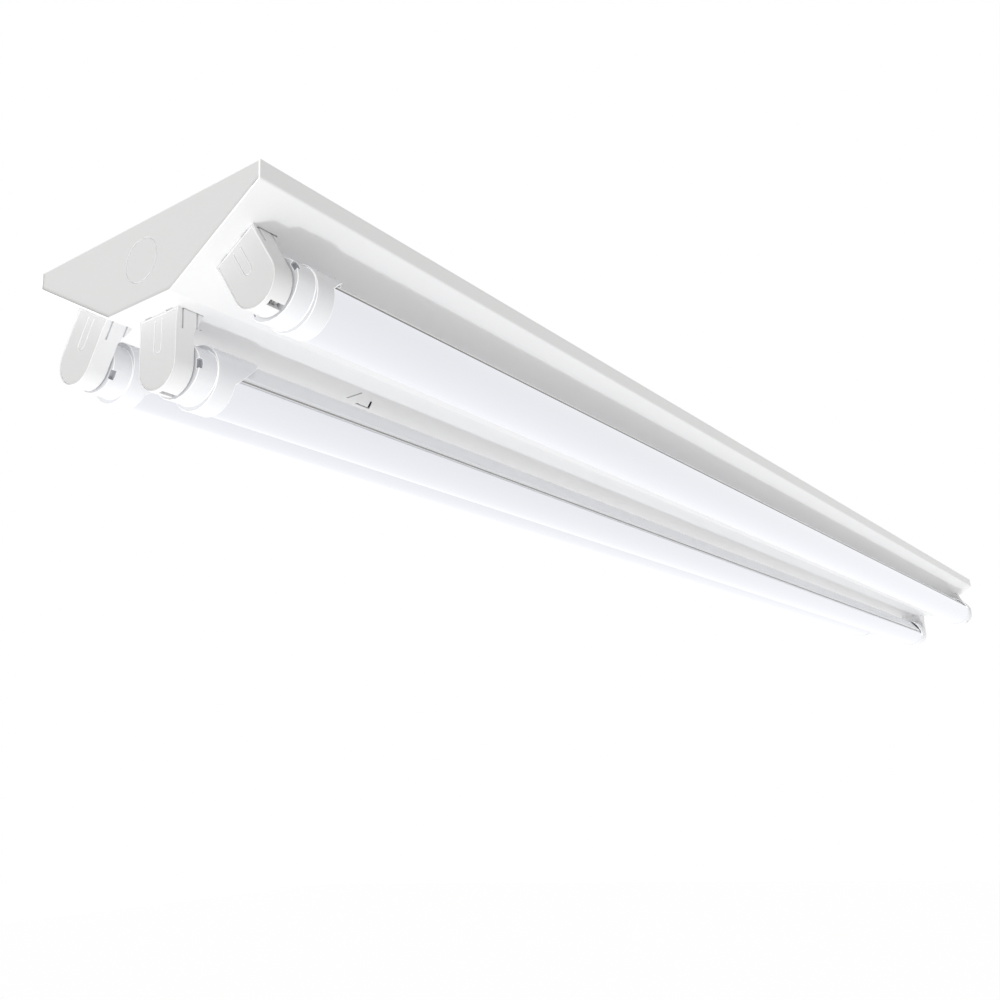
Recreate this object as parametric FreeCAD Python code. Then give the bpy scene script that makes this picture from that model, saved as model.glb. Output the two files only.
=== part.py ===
import FreeCAD, Part
import math
import os

from FreeCAD import Placement, Rotation, Vector

# Three-lamp batten ceiling light.
# Lengths are in millimetres. X runs along the lamps, Z points up, and z = 0 is the face
# that bears on the ceiling. The origin is the middle of that face.

# Body sheet metal
body_width = 150.0
body_height = 40.8
lip_height = 8.8
bottom_width = 42.0
end_margin = 10.7
sheet = 0.8
bend_radius = 0.6
sheet_gap = 0.12

# Lamp: an LED tube with two-pin caps
lamp_length = 1199.0
lamp_standoff = 24.0
tube_radius = 14.25
cap_radius = 15.6
cap_length = 20.5
cap_long_side = 37.0
cap_slope = 1.1
cap_slope_start = -4.5
neck_length = 10.3
neck_half_width = 15.1
neck_half_height = 13.1
neck_end_radius = 11.5
cap_wall = 1.4
cap_overlap = 8.5
cap_bore_gap = 0.1
cap_window_height = 4.4
cap_window_depth = 2.0
cap_window_length = 1.8
pin_pitch = 12.7
pin_radius = 1.175
pin_length = 7.0
pin_root = 3.0
pin_root_side = 1.5
pin_hole_gap = 0.03

# Diffuser and heat sink section
diffuser_wall = 1.1
rail_angle = 99.0
roof_angle = 152.0
sink_drop = 0.15
roof_drop = 0.35
sink_wall = 1.3
shelf_top = -1.0
shelf_thickness = 1.2
hook_length = 1.3
hook_thickness = 1.0
groove_gap = 0.1
toe_thickness = 0.9
toe_reach = 0.9
leg_width = 1.0
fin_height = 0.8
fin_width = 0.8
fin_pitch = 2.4
fin_pairs = 2
rail_notch = 0.7

# Light source and its driver
board_width = 20.0
board_thickness = 1.0
board_end_gap = 6.0
driver_length = 210.0
driver_width = 18.0
driver_board = 1.6
driver_from_end = 60.0
coil_length = 26.0
coil_width = 12.0
coil_height = 6.5
capacitor_length = 18.0
capacitor_width = 7.0
capacitor_height = 6.0

# Lampholder
socket_depth = 10.0
socket_half_width = 12.25
lamp_gap = 0.8
foot_front = 4.6
foot_front_height = 9.5
flare_depth = 1.5
flare_reach = 0.7
flare_height = 6.0
cover_inset = 0.5
cavity_wall = 2.2
front_wall = 1.6
cavity_floor = 6.0
rotor_rim = 0.975
rotor_fit = 0.06
rotor_slot = 2.7
rotor_recess = 0.2
collar_reach = 0.7
collar_gap = 0.35
collar_thickness = 1.2
hub_gap = 0.35
hub_end = 2.2
entry_slot = 2.9
entry_depth = 7.4
cover_recess = 0.25
cover_thickness = 1.0
cover_gap = 0.1
cover_base = 1.2
groove_width = 0.5
groove_depth = 0.5
u_half_width = 2.4
u_height = 18.9
u_start = 3.0
slit_width = 0.9
slit_height = 9.5
slit_depth = 1.2
slit_back = 3.5
slit_front = 11.3
notch_width = 4.5
notch_height = 0.5
notch_offset = 7.0
socket_neck_height = 4.6
neck_front_gap = 0.3
neck_side_gap = 0.15
barb_reach = 1.2
barb_height = 1.7
contact_thickness = 0.4
contact_width = 3.0
contact_back = 3.4
contact_gap = 0.1
contact_fit = 0.05
contact_reach = 5.0
contact_tail = 4.0

# Cut-outs and small features of the reflector
cutout_corner = 0.6
cutout_gap = 0.25
latch_slit = 1.2
latch_from_end = 140.0
latch_low = -1.6
latch_high = 8.1
latch_hook_from_end = 159.2
latch_hook_across = 10.4
latch_hook_length = 9.3
latch_hook_back = 6.1
latch_hook_drop = 7.5
latch_hole_radius = 1.0
dot_radius = 0.5
dot_from_socket = 21.0
dot_pitch = 2.2

# End plates
plate_inset = 0.6
plate_thickness = 1.0
plate_flange = 7.0
top_flange_half = 33.0
knockout_radius = 10.8
knockout_height = 19.0
knockout_groove = 0.6
knockout_depth = 0.5
knockout_tie = 2.2
relief_start = 0.5
relief_length = 4.7
relief_depth = 1.1

# Chassis
chassis_flange = 7.9
bead_centre = 41.0
bead_half_width = 5.0
bead_slope = 2.0
bead_depth = 2.0
mount_spacing = 900.0
mount_slot_length = 14.0
mount_slot_radius = 3.5
entry_radius = 12.0
entry_offset = 90.0
rib_clear = 12.0

# Cable bush
bush_bore = 9.0
bush_lip = 2.4
bush_lip_thickness = 1.6
bush_gap = 0.05

# Brackets between the ceiling plate and the bottom facet
bracket_from_end = 176.0
bracket_width = 22.0
bracket_foot = 16.0
bracket_thickness = 1.0
bracket_bend = 1.2

# Terminal block and earth screw
terminal_length = 19.0
terminal_width = 34.0
terminal_height = 17.0
terminal_pole_pitch = 11.0
terminal_port = 3.4
terminal_port_depth = 5.0
terminal_offset = 40.0
terminal_edge = 0.8
terminal_rib = 1.6
terminal_rib_height = 2.0
supply_port_level = 6.0
button_length = 4.0
button_width = 3.0
button_depth = 1.2
ear_length = 8.0
ear_height = 2.0
ear_width = 12.0
foot_length = 6.0
foot_width = 3.0
foot_gap = 0.1
earth_offset = 30.0
earth_across = 22.0
screw_radius = 2.0
screw_gap = 0.12
hexagon_radius = 4.0
screw_head_height = 2.8

# Wiring
wire_radius = 1.4
wire_level = 13.0
wire_middle = 17.0
wire_bend = 9.0
wire_lead_out = 32.0
wire_cross = 40.0
wire_drop = 13.0
wire_entry = 3.0
wire_socket_gap = 0.1
wire_station = 9.0
wire_sides = 6
bend_steps = 2

# Sides of small round forms
small_sides = 12
ring_sides = 28
oval_steps = 6
bush_sides = 24
dome_sides = 14
arc_sides = 8
hexagon_sides = 6

# Overrun of through cuts, and the slack in comparing directions and places
over = 2.0
tiny = 1e-6

# Values worked out from the above
body_length = lamp_length + 2 * (lamp_gap + socket_depth + end_margin)
half_length = body_length / 2
half_width = body_width / 2
half_bottom = bottom_width / 2
facet_run = half_width - half_bottom
facet_rise = body_height - lip_height
facet_length = math.hypot(facet_run, facet_rise)
facet_tilt = math.degrees(math.atan2(facet_rise, facet_run))
inner_wall = sheet + sheet_gap
web_bottom = -sheet
cap_face = lamp_length / 2
cap_step = cap_face - neck_length
cap_end = cap_face - cap_length
tube_end = cap_end + cap_overlap
shelf_bottom = shelf_top - shelf_thickness
rotor_radius = pin_pitch / 2 + pin_radius + rotor_rim
contact_inner = pin_pitch / 2 + pin_radius + contact_gap
rotor_back = socket_depth - front_wall - collar_gap
collar_back = rotor_back - collar_thickness

LAMPS = {
    "right": (-(half_width + half_bottom) / 2, -(lip_height + body_height) / 2, -facet_tilt),
    "middle": (0.0, -body_height, 0.0),
    "left": ((half_width + half_bottom) / 2, -(lip_height + body_height) / 2, facet_tilt),
}
ENDS = {"near": -1, "far": 1}


def save(name, shape):
    """Writes one sub-part to its own file."""
    if not shape.isValid():
        print("not valid:", name)
    shape.exportStep("parts/" + name + ".step")
    print(name, len(shape.Solids), round(shape.Volume, 1))


def point(y, z, x=0.0):
    """A point from its place in the cross-section and its station along the length."""
    return Vector(x, y, z)


def polar(angle, radius):
    """A point round the lamp axis. Angle 0 is away from the reflector."""
    a = math.radians(angle)
    return point(radius * math.sin(a), -radius * math.cos(a))


def polygon(points):
    """A flat face with straight sides."""
    return Part.Face(Part.makePolygon(points + points[:1]))


def extrude(face, start, end):
    """A prism of a cross-section face between two stations along X."""
    solid = face.extrude(Vector(end - start, 0, 0))
    solid.translate(Vector(start, 0, 0))
    return solid


def block(x0, x1, y0, y1, z0, z1):
    """A box from its limits."""
    return Part.makeBox(x1 - x0, y1 - y0, z1 - z0, Vector(x0, y0, z0))


def disc(radius, height, base, axis=Vector(0, 0, 1)):
    """A cylinder."""
    return Part.makeCylinder(radius, height, base, axis)


def many_sided(sides, radius, height, base, axis=Vector(0, 0, 1)):
    """A prism with a regular outline, for small round forms."""
    turn = Rotation(Vector(0, 0, 1), axis)
    corners = []
    for i in range(sides):
        a = 2 * math.pi * (i + 1 / 2) / sides
        corners.append(base + turn.multVec(Vector(radius * math.cos(a), radius * math.sin(a), 0)))
    return polygon(corners).extrude(axis * height)


def fused(shapes):
    """One solid from several that meet."""
    return shapes[0].multiFuse(shapes[1:]).removeSplitter()


def rounded_edges(points, radii):
    """Straight edges with an arc at each inner corner. Works in the plane or in space."""
    edges, start = [], points[0]
    for i in range(1, len(points) - 1):
        corner = points[i]
        back = (points[i - 1] - corner).normalize()
        ahead = (points[i + 1] - corner).normalize()
        half_turn = (math.pi - back.getAngle(ahead)) / 2
        radius = radii[i - 1]
        run = radius * math.tan(half_turn)
        first, last = corner + back * run, corner + ahead * run
        inward = (back + ahead).normalize()
        middle = corner + inward * (radius / math.cos(half_turn) - radius)
        edges.append(Part.LineSegment(start, first).toShape())
        edges.append(Part.Arc(first, middle, last).toShape())
        start = last
    edges.append(Part.LineSegment(start, points[-1]).toShape())
    return edges


def moved_in(points, distance):
    """The same open outline, shifted to its inner side by a distance, with mitred corners."""
    result = []
    for i, p in enumerate(points):
        normals = []
        for a, b in ((i - 1, i), (i, i + 1)):
            if a >= 0 and b < len(points):
                along = (points[b] - points[a]).normalize()
                normals.append(point(along.z, -along.y))
        if len(normals) == 1:
            result.append(p + normals[0] * distance)
        else:
            total = normals[0] + normals[1]
            result.append(p + total * (distance / (total.dot(normals[0]))))
    return result


def turns_inward(points, i):
    """True where the outline bends towards its inner side."""
    a, b = points[i] - points[i - 1], points[i + 1] - points[i]
    return a.y * b.z - a.z * b.y < 0


def sheet_section(points, thickness, radius):
    """The cross-section of bent sheet metal from the corners of its outer face."""
    outer_radii, inner_radii = [], []
    for i in range(1, len(points) - 1):
        inward = turns_inward(points, i)
        outer_radii.append(radius + thickness if inward else radius)
        inner_radii.append(radius if inward else radius + thickness)
    inner = moved_in(points, thickness)
    edges = rounded_edges(points, outer_radii)
    edges.append(Part.LineSegment(points[-1], inner[-1]).toShape())
    edges += rounded_edges(inner[::-1], inner_radii[::-1])
    edges.append(Part.LineSegment(inner[0], points[0]).toShape())
    return Part.Face(Part.Wire(Part.__sortEdges__(edges)))


def body_outline(inset=0.0, top=0.0):
    """The body's profile from one lip's top edge to the other's, moved in by a distance."""
    outer = [
        point(half_width, top),
        point(half_width, -lip_height),
        point(half_bottom, -body_height),
        point(-half_bottom, -body_height),
        point(-half_width, -lip_height),
        point(-half_width, top),
    ]
    return moved_in(outer, inset)


def on_facet(shape, lamp, end=None):
    """Places a shape made over a flat facet on one lamp's facet, and at one end if that is given.

    The shape's own x counts from the lampholder's back face towards the lamp."""
    y, z, tilt = LAMPS[lamp]
    placed = shape.copy()
    if end is not None:
        if ENDS[end] > 0:
            placed.rotate(Vector(), Vector(0, 0, 1), 180)
        placed.translate(Vector(ENDS[end] * (half_length - end_margin), 0, 0))
    placed.rotate(Vector(), Vector(1, 0, 0), tilt)
    placed.translate(Vector(0, y, z))
    return placed


def on_lamp(shape, lamp):
    """Places a shape made round the X axis on one lamp's axis."""
    placed = shape.copy()
    placed.translate(Vector(0, 0, -lamp_standoff))
    return on_facet(placed, lamp)


def arched(half, start, centre, sides):
    """Straight sides from a start level down to a half round about a centre level, drawn with many sides."""
    corners = [point(-half, start)]
    for i in range(sides + 1):
        a = math.pi * i / sides
        corners.append(point(-half * math.cos(a), centre - half * math.sin(a)))
    corners.append(point(half, start))
    return polygon(corners)


def dome(inset, x0, x1, base=0.0):
    """The lampholder's outline, straight sides under a half round, as a prism."""
    return extrude(arched(socket_half_width - inset, -base, -lamp_standoff, dome_sides), x0, x1)


def oblong(length, radius, depth):
    """A slot-shaped cutter with round ends, centred on the origin, along X."""
    reach = length / 2 - radius
    ends = [disc(radius, depth, Vector(side * reach, 0, -depth / 2)) for side in (-1, 1)]
    return fused([block(-reach, reach, -radius, radius, -depth / 2, depth / 2)] + ends)


def trimmed_slot(length, width, depth, corner):
    """A block with its upright corners cut off, centred on the origin, along X."""
    shape = block(-length / 2, length / 2, -width / 2, width / 2, -depth / 2, depth / 2)
    upright = [e for e in shape.Edges if abs(e.tangentAt(e.FirstParameter).z) > 1 - tiny]
    return shape.makeChamfer(corner, upright)


# Sheet metal


def slit_between(x0, y0, x1, y1):
    """The cut between two places of the bottom facet, counted from the near end and the middle."""
    deep = 2 * (sheet + over)
    start, stop = Vector(x0 - half_length, y0, 0), Vector(x1 - half_length, y1, 0)
    reach = start.distanceToPoint(stop)
    cut = block(-latch_slit / 2, reach + latch_slit / 2, -latch_slit / 2, latch_slit / 2, -deep / 2, deep / 2)
    cut.rotate(Vector(), Vector(0, 0, 1), math.degrees(math.atan2(y1 - y0, x1 - x0)))
    cut.translate(start + Vector(0, 0, -body_height))
    return cut


def lanced_latch():
    """The cuts round a pressed tab: a slit, a hook of two slits, and a pilot hole at the hook's end."""
    hook_end = latch_hook_from_end - latch_hook_length
    cuts = [
        slit_between(latch_from_end, latch_low, latch_from_end, latch_high),
        slit_between(hook_end, latch_hook_across, latch_hook_from_end, latch_hook_across),
        slit_between(latch_hook_from_end - latch_hook_back, latch_hook_across - latch_hook_drop,
                     latch_hook_from_end, latch_hook_across),
    ]
    base = Vector(hook_end - half_length, latch_hook_across, -body_height - sheet - over)
    cuts.append(many_sided(small_sides, latch_hole_radius, 2 * (sheet + over), base))
    return cuts


def reflector_body():
    """The folded cover: two lips, two sloping facets and the bottom, with six cut-outs."""
    shell = extrude(sheet_section(body_outline(), sheet, bend_radius), -half_length, half_length)
    x0, x1 = slit_back - slit_width / 2, socket_depth + foot_front + cutout_gap
    half = socket_half_width + cutout_gap
    cutter = trimmed_slot(x1 - x0, 2 * half, 2 * (sheet + over), cutout_corner)
    cutter.translate(Vector((x0 + x1) / 2, 0, 0))
    for lamp in LAMPS:
        for end in ENDS:
            shell = shell.cut(on_facet(cutter, lamp, end))
    for cut in lanced_latch():
        shell = shell.cut(cut)
    for i in range(2):
        base = Vector(dot_from_socket + i * dot_pitch, 0, -sheet - over)
        dot = many_sided(small_sides, dot_radius, 2 * (sheet + over), base)
        shell = shell.cut(on_facet(dot, "middle", "near"))
    return shell


def end_plate(end):
    """A pressed end: a flat face with a knockout, and a flange that seats inside the body."""
    sign = ENDS[end]
    outline = body_outline(inner_wall)
    outline[0], outline[-1] = point(outline[0].y, 0), point(outline[-1].y, 0)
    face = half_length - plate_inset
    inside = face - plate_thickness
    plate = extrude(polygon(outline), inside, face)
    top = web_bottom - sheet_gap
    rim = body_outline(inner_wall, top)
    core = body_outline(inner_wall + sheet, top - sheet)
    rim[0], rim[-1] = point(rim[0].y, top), point(rim[-1].y, top)
    core[0], core[-1] = point(core[0].y, top - sheet), point(core[-1].y, top - sheet)
    flange = extrude(polygon(rim), inside - plate_flange, inside)
    flange = flange.cut(extrude(polygon(core), inside - plate_flange - over, inside + over))
    for side in (-1, 1):
        y0, y1 = sorted((side * top_flange_half, side * (half_width + over)))
        flange = flange.cut(
            block(inside - plate_flange - over, inside, y0, y1, top - sheet - sheet_gap, over)
        )
    plate = plate.fuse(flange)
    x_axis = Vector(1, 0, 0)
    ring = many_sided(ring_sides, knockout_radius, knockout_depth + over,
                      Vector(face - knockout_depth, 0, 0), x_axis)
    ring = ring.cut(many_sided(ring_sides, knockout_radius - knockout_groove, knockout_depth + 2 * over,
                               Vector(face - knockout_depth - over, 0, 0), x_axis))
    ring = ring.cut(
        block(face - knockout_depth - over, face + 2 * over, -knockout_tie / 2, knockout_tie / 2, 0,
              knockout_radius + over)
    )
    ring.translate(Vector(0, 0, -knockout_height))
    plate = plate.cut(ring)
    for lamp in ("right", "left"):
        side = -1 if lamp == "right" else 1
        near_lip = side * (facet_length / 2 - relief_start)
        y0, y1 = sorted((near_lip, near_lip - side * relief_length))
        notch = block(inside - plate_flange - over, face + over, y0, y1, 0, inner_wall + relief_depth)
        plate = plate.cut(on_facet(notch, lamp))
    if sign < 0:
        plate.rotate(Vector(), Vector(0, 0, 1), 180)
    return plate.removeSplitter()


def chassis_plate():
    """The ceiling plate: turned-down edges, two pressed beads, slots, cable hole and knockouts."""
    edge = half_width - sheet - sheet_gap
    corners = [point(edge, -chassis_flange), point(edge, 0)]
    outer, inner = bead_centre + bead_half_width, bead_centre - bead_half_width
    corners += [point(outer, 0), point(outer - bead_slope, -bead_depth)]
    corners += [point(inner + bead_slope, -bead_depth), point(inner, 0)]
    mirrored = [point(-p.y, p.z) for p in corners[::-1]]
    outline = (corners + mirrored)[::-1]
    end = half_length - plate_inset - plate_thickness - sheet_gap
    plate = extrude(sheet_section(outline, sheet, bend_radius), -end, end)
    for sign in ENDS.values():
        x0, x1 = sorted((sign * (end - rib_clear), sign * (end + over)))
        for side in (-1, 1):
            y0, y1 = sorted((side * (bead_centre + 2 * bead_half_width), side * half_width))
            plate = plate.cut(block(x0, x1, y0, y1, -chassis_flange - over, web_bottom))
        slot = oblong(mount_slot_length, mount_slot_radius, 2 * (sheet + over))
        slot.translate(Vector(sign * mount_spacing / 2, 0, 0))
        plate = plate.cut(slot)
    plate = plate.cut(many_sided(bush_sides, entry_radius, sheet + 2 * over,
                                 Vector(entry_offset, 0, -sheet - over)))
    plate = plate.cut(many_sided(small_sides, screw_radius + screw_gap, sheet + 2 * over,
                                 Vector(earth_offset, earth_across, -sheet - over)))
    for side in (-1, 1):
        plate = plate.cut(terminal_foot(side, foot_gap, web_bottom - over, over))
    return plate


def terminal_foot(side, gap, bottom, top):
    """One of the terminal block's two feet, or with a gap the slot that it is pressed into."""
    x, y = foot_length / 2 + gap, side * (terminal_width + ear_length) / 2
    half = foot_width / 2 + gap
    return block(-terminal_offset - x, -terminal_offset + x, y - half, y + half, bottom, top)


def bracket(end):
    """A strip bent to a Z, spot-welded between the ceiling plate and the bottom facet."""
    sign = ENDS[end]
    top = web_bottom
    bottom = -body_height + sheet + bracket_thickness
    station = half_length - bracket_from_end
    flat = [
        point(station - bracket_foot, top),
        point(station, top),
        point(station, bottom),
        point(station + bracket_foot, bottom),
    ]
    section = sheet_section(flat, bracket_thickness, bracket_bend)
    strip = extrude(section, -bracket_width / 2, bracket_width / 2)
    strip.rotate(Vector(), Vector(0, 0, 1), -90)
    if sign < 0:
        strip.rotate(Vector(), Vector(0, 0, 1), 180)
    return strip


def cable_bush():
    """The rubber bush in the ceiling plate's cable hole."""
    lip = many_sided(bush_sides, entry_radius + bush_lip, bush_lip_thickness,
                     Vector(0, 0, web_bottom - bush_lip_thickness))
    body = many_sided(bush_sides, entry_radius - bush_gap, sheet, Vector(0, 0, -sheet))
    bore = disc(bush_bore, sheet + bush_lip_thickness + 2 * over,
                Vector(0, 0, web_bottom - bush_lip_thickness - over))
    bush = lip.fuse(body).cut(bore).removeSplitter()
    bush.translate(Vector(entry_offset, 0, 0))
    return bush


def earth_screw():
    """The hexagon-headed earth screw, headed below the ceiling plate."""
    shank = many_sided(small_sides, screw_radius, sheet, Vector(0, 0, web_bottom))
    base = Vector(0, 0, web_bottom - screw_head_height)
    head = many_sided(hexagon_sides, hexagon_radius, screw_head_height, base)
    screw = fused([shank, head])
    screw.translate(Vector(earth_offset, earth_across, 0))
    return screw


# Terminal block


def pole_places():
    """Where the terminal poles stand across the body."""
    return [step * terminal_pole_pitch for step in (-1, 0, 1)]


def terminal_block():
    """A three-pole push-in block: lamp leads below, supply above, release buttons underneath."""
    x, y = terminal_length / 2, terminal_width / 2
    top, bottom = web_bottom, web_bottom - terminal_height
    shape = block(-x, x, -y, y, bottom, top)
    corners = [e for e in shape.Edges if abs(e.tangentAt(e.FirstParameter).z) > 1 - tiny]
    shape = shape.makeChamfer(terminal_edge, corners)
    half = terminal_port / 2
    for place in pole_places():
        for side, level in ((-1, -wire_level), (1, -wire_level), (1, -supply_port_level)):
            x0, x1 = sorted((side * (x - terminal_port_depth), side * (x + over)))
            shape = shape.cut(block(x0, x1, place - half, place + half, level - half, level + half))
        well = block(-button_length / 2, button_length / 2, -button_width / 2, button_width / 2,
                     bottom - over, bottom + button_depth)
        shape = shape.cut(well.translated(Vector(0, place, 0)))
    for step in (-1, 1):
        rib = block(-x + terminal_edge, x - terminal_edge, -terminal_rib / 2, terminal_rib / 2,
                    bottom - terminal_rib_height, bottom)
        rib.translate(Vector(0, step * terminal_pole_pitch / 2, 0))
        shape = shape.fuse(rib)
    shape.translate(Vector(-terminal_offset, 0, 0))
    for side in (-1, 1):
        y0, y1 = sorted((side * (y - over), side * (y + ear_length)))
        ear = block(-ear_width / 2, ear_width / 2, y0, y1, top - ear_height, top)
        foot = terminal_foot(side, 0, top, -foot_gap)
        shape = fused([shape, ear.translated(Vector(-terminal_offset, 0, 0)), foot])
    return shape


def bent_path(corners):
    """The corners of a lead's path, each bend shared among a few short runs."""
    path = [corners[0]]
    for i in range(1, len(corners) - 1):
        corner = corners[i]
        back = (corners[i - 1] - corner).normalize()
        ahead = (corners[i + 1] - corner).normalize()
        half_turn = (math.pi - back.getAngle(ahead)) / 2
        run = wire_bend * math.tan(half_turn)
        inward = (back + ahead).normalize()
        centre = corner + inward * (wire_bend / math.cos(half_turn))
        first = corner + back * run - centre
        last = corner + ahead * run - centre
        for step in range(bend_steps + 1):
            share = step / bend_steps
            a = math.sin((1 - share) * 2 * half_turn) / math.sin(2 * half_turn)
            b = math.sin(share * 2 * half_turn) / math.sin(2 * half_turn)
            path.append(centre + first * a + last * b)
    return path + [corners[-1]]


def wire_run(corners):
    """A lead along corners: a many-sided bar, mitred at every corner of its path."""
    path = bent_path(corners)
    ahead = (path[1] - path[0]).normalize()
    turn = Rotation(Vector(0, 0, 1), ahead)
    ring = []
    for i in range(wire_sides):
        a = 2 * math.pi * i / wire_sides
        ring.append(path[0] + turn.multVec(Vector(wire_radius * math.cos(a), wire_radius * math.sin(a), 0)))
    faces = [polygon(ring[::-1])]
    for i in range(1, len(path)):
        ahead = (path[i] - path[i - 1]).normalize()
        plane = ahead
        if i < len(path) - 1:
            plane = (ahead + (path[i + 1] - path[i]).normalize()).normalize()
        reached = [p + ahead * ((path[i] - p).dot(plane) / ahead.dot(plane)) for p in ring]
        for j in range(wire_sides):
            k = (j + 1) % wire_sides
            faces.append(polygon([ring[j], ring[k], reached[k], reached[j]]))
        ring = reached
    faces.append(polygon(ring))
    solid = Part.makeSolid(Part.makeShell(faces))
    if solid.Volume < 0:
        solid.reverse()
    return solid


def inner_place(lamp, along, above):
    """A point above the middle of a facet, on the inner side of the sheet."""
    y, z, tilt = LAMPS[lamp]
    a = math.radians(tilt)
    return Vector(along, y - above * math.sin(a), z + above * math.cos(a))


def wiring_loom():
    """Six leads from the terminal block to the lampholders."""
    group = []
    for end, sign in ENDS.items():
        face = -terminal_offset + sign * terminal_length / 2
        socket = sign * (half_length - end_margin - wire_station)
        for lamp, pole in zip(("right", "middle", "left"), pole_places()):
            landing = inner_place(lamp, socket, socket_neck_height + wire_socket_gap)
            above = inner_place(lamp, socket, socket_neck_height + wire_socket_gap + wire_drop)
            path = [Vector(face - sign * wire_entry, pole, -wire_level)]
            path.append(Vector(face + sign * wire_lead_out, pole, -wire_level))
            if lamp == "middle":
                path.append(Vector(face + sign * (wire_lead_out + wire_cross), wire_middle, -wire_level))
                path.append(Vector(socket - sign * (2 * wire_bend + wire_cross), wire_middle, -wire_level))
                path.append(Vector(socket - sign * 2 * wire_bend, 0, -wire_level))
                path.append(Vector(socket, 0, -wire_level))
            else:
                path.append(Vector(face + sign * (wire_lead_out + wire_cross), above.y, above.z))
                path.append(above)
            path.append(landing)
            group.append(wire_run(path))
    return Part.makeCompound(group)


# Lampholder


def y_prism(points, half):
    """A prism across the socket from corners given as station and height."""
    corners = [Vector(x, -half, z) for x, z in points]
    return polygon(corners).extrude(Vector(0, 2 * half, 0))


def socket_outline():
    """The lampholder's outside: a dome on a tapered foot."""
    shell = dome(0, 0, socket_depth)
    front = socket_depth + foot_front
    wedge = y_prism([(slit_back, 0), (slit_back, -foot_front_height), (socket_depth, -foot_front_height),
                     (front, 0)], socket_half_width)
    flares = []
    for side in (-1, 1):
        base = side * socket_half_width
        flares.append(extrude(polygon([point(base, 0), point(base, -flare_height),
                                       point(base + side * flare_reach, 0)]), 0, flare_depth))
    return fused([shell, wedge] + flares)


def socket_neck():
    """The part of the lampholder that passes through the sheet and snaps behind it."""
    half = socket_half_width - neck_side_gap
    x0, x1 = slit_back, socket_depth + foot_front - neck_front_gap
    neck = block(x0, x1, -half, half, 0, socket_neck_height)
    start = sheet + sheet_gap
    barbs = []
    for side in (-1, 1):
        face = side * half
        barbs.append(extrude(polygon([point(face, start), point(face + side * barb_reach, start),
                                      point(face, start + barb_height)]),
                             slit_back + slit_width, slit_front - slit_width))
    front = y_prism([(x1, start), (x1 + barb_reach, start), (x1, start + barb_height)], half / 2)
    return fused([neck, front] + barbs)


def socket_housing():
    """The lampholder's housing, hollow, with the rotor's bore and the slot the pins enter by."""
    body = fused([socket_outline(), socket_neck()])
    body = body.cut(cavity())
    body = body.cut(dome(cover_inset, -over, cover_recess + cover_thickness, cover_base))
    axis = Vector(0, 0, -lamp_standoff)
    bore = disc(rotor_radius + rotor_fit, front_wall + 2 * over,
                axis + Vector(socket_depth - front_wall - over, 0, 0), Vector(1, 0, 0))
    body = body.cut(bore)
    apex = lamp_standoff + socket_half_width
    body = body.cut(block(socket_depth - entry_depth, socket_depth + over, -entry_slot / 2, entry_slot / 2,
                          -apex - over, -lamp_standoff))
    for side in (-1, 1):
        y0, y1 = sorted((side * (socket_half_width - slit_depth), side * (socket_half_width + over)))
        for place in (slit_back, slit_front):
            body = body.cut(block(place - slit_width / 2, place + slit_width / 2, y0, y1, -slit_height, over))
        notch = block(-over, cover_thickness, -notch_width / 2, notch_width / 2, -notch_height, over)
        body = body.cut(notch.translated(Vector(0, side * notch_offset, 0)))
        y0, y1 = sorted((side * (contact_inner - contact_fit),
                         side * (contact_inner + contact_thickness + contact_fit)))
        body = body.cut(block(contact_back - contact_fit, contact_back + contact_width + contact_fit, y0, y1,
                              -cavity_floor - over, socket_neck_height + over))
    return body


def cavity():
    """The hollow of the lampholder."""
    hollow = arched(socket_half_width - cavity_wall, -cavity_floor, -lamp_standoff, arc_sides)
    return extrude(hollow, cover_thickness, socket_depth - front_wall)


def socket_cover():
    """The plate let into the lampholder's outer face, with its pressed U."""
    x0, x1 = cover_recess, cover_recess + cover_thickness - cover_gap
    plate = dome(cover_inset + cover_gap, x0, x1, cover_base + cover_gap)
    groove = u_shape(u_half_width + groove_width / 2, x0 - over, x0 + groove_depth)
    core = u_shape(u_half_width - groove_width / 2, x0 - 2 * over, x0 + groove_depth + over)
    return plate.cut(groove.cut(core))


def u_shape(half, x0, x1):
    """A tongue with a round end, as a prism."""
    return extrude(arched(half, -u_start, -u_height + u_half_width, arc_sides), x0, x1)


def socket_contacts():
    """The pair of leaf contacts that reach the pins once the lamp is turned home."""
    group = []
    for side in (-1, 1):
        y0, y1 = sorted((side * contact_inner, side * (contact_inner + contact_thickness)))
        group.append(block(contact_back, contact_back + contact_width, y0, y1,
                           -lamp_standoff - contact_reach, contact_tail))
    return Part.makeCompound(group)


def socket_rotor():
    """The rotor that the pins turn: a slotted disc, a six-sided collar that keeps it in, and a square hub."""
    x_axis = Vector(1, 0, 0)
    front = socket_depth - rotor_recess
    face = many_sided(ring_sides, rotor_radius, front - rotor_back, Vector(rotor_back, 0, 0), x_axis)
    collar = many_sided(hexagon_sides, rotor_radius + collar_reach, rotor_back - collar_back,
                        Vector(collar_back, 0, 0), x_axis)
    reach = rotor_radius + collar_reach + over
    slot = block(collar_back - over, socket_depth + over, -reach, reach, -rotor_slot / 2, rotor_slot / 2)
    half = pin_pitch / 2 - pin_radius - hub_gap
    hub = block(hub_end, collar_back, -half, half, -half, half)
    rotor = fused([fused([face, collar]).cut(slot), hub])
    rotor.translate(Vector(0, 0, -lamp_standoff))
    return rotor


# Lamp


def end_pair(shape, end):
    """Turns a shape made for the far end of a lamp to the end asked for."""
    placed = shape.copy()
    if ENDS[end] < 0:
        placed.rotate(Vector(), Vector(0, 0, 1), 180)
    return placed


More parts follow.
